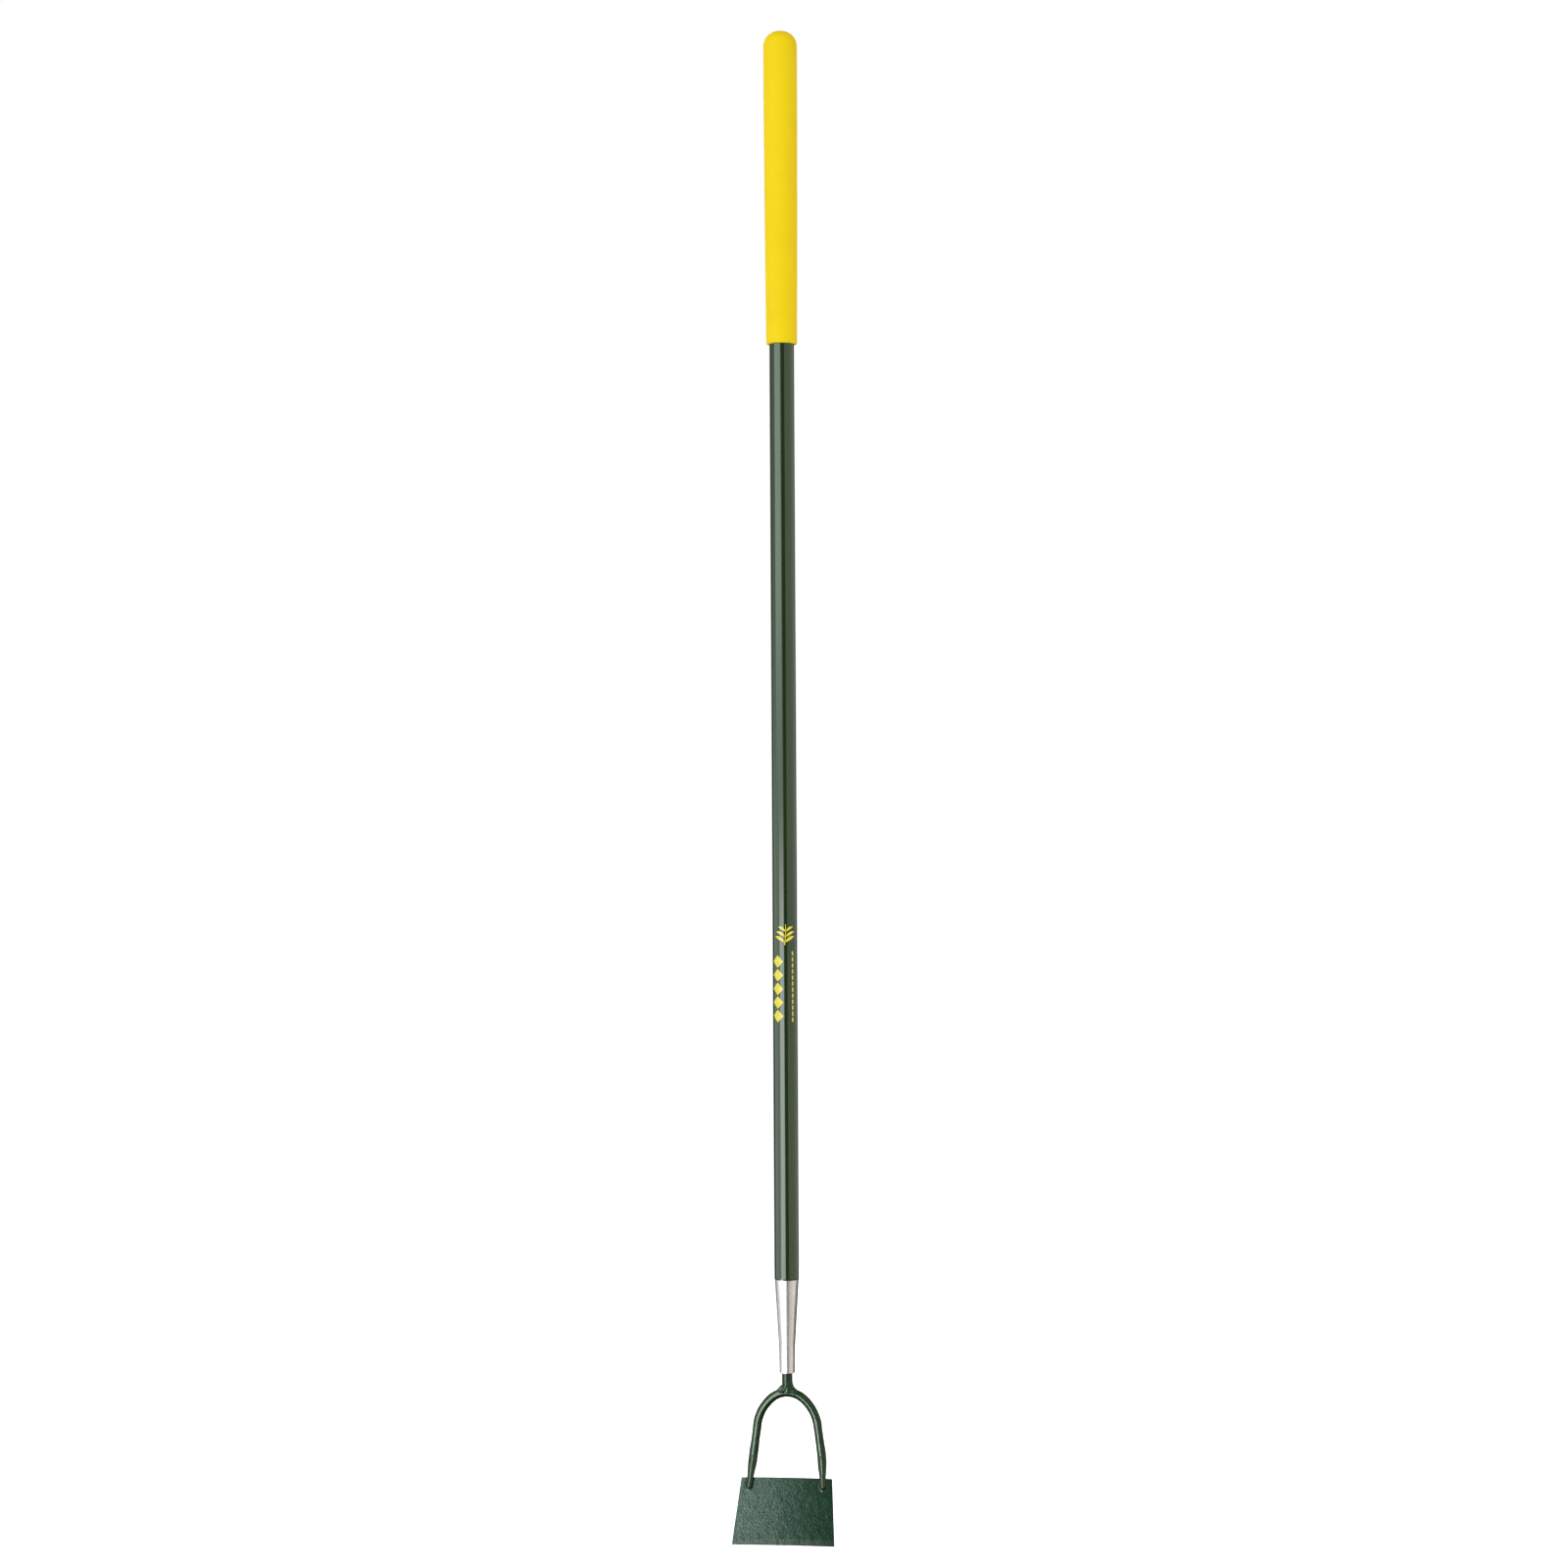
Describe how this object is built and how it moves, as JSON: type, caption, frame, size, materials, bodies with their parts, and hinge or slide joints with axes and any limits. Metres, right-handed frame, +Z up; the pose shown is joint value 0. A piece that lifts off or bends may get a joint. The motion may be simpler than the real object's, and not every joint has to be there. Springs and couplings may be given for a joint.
{
  "type": "push hoe",
  "caption": "Long-handled push hoe: a flat flared blade on an arched bow, a bright tapered ferrule, a green steel tube handle and a yellow foam grip.",
  "frame": {"origin": "on the handle's axis at the middle of the bare tube, where a wall clip holds the tool; the cutting edge is 733.25 mm below it", "axes": "+Z up along the handle towards the grip, -Y the way the blade points, X across the blade"},
  "size_m": [0.103, 0.0657, 1.527],
  "materials": {
    "head_paint": "satin",
    "ferrule_chrome": "polished",
    "tube_paint": "gloss",
    "grip_foam": "matte",
    "black_plastic": "matte"
  },
  "bodies": {
    "root": {"blade": "head_paint", "bow": "head_paint", "shank": "head_paint", "neck_weld": "head_paint", "left_arm_weld": "head_paint", "right_arm_weld": "head_paint", "ferrule": "ferrule_chrome", "tang_bush": "black_plastic", "handle_tube": "tube_paint", "tube_end_plug": "black_plastic", "grip": "grip_foam"}
  },
  "joints": []
}
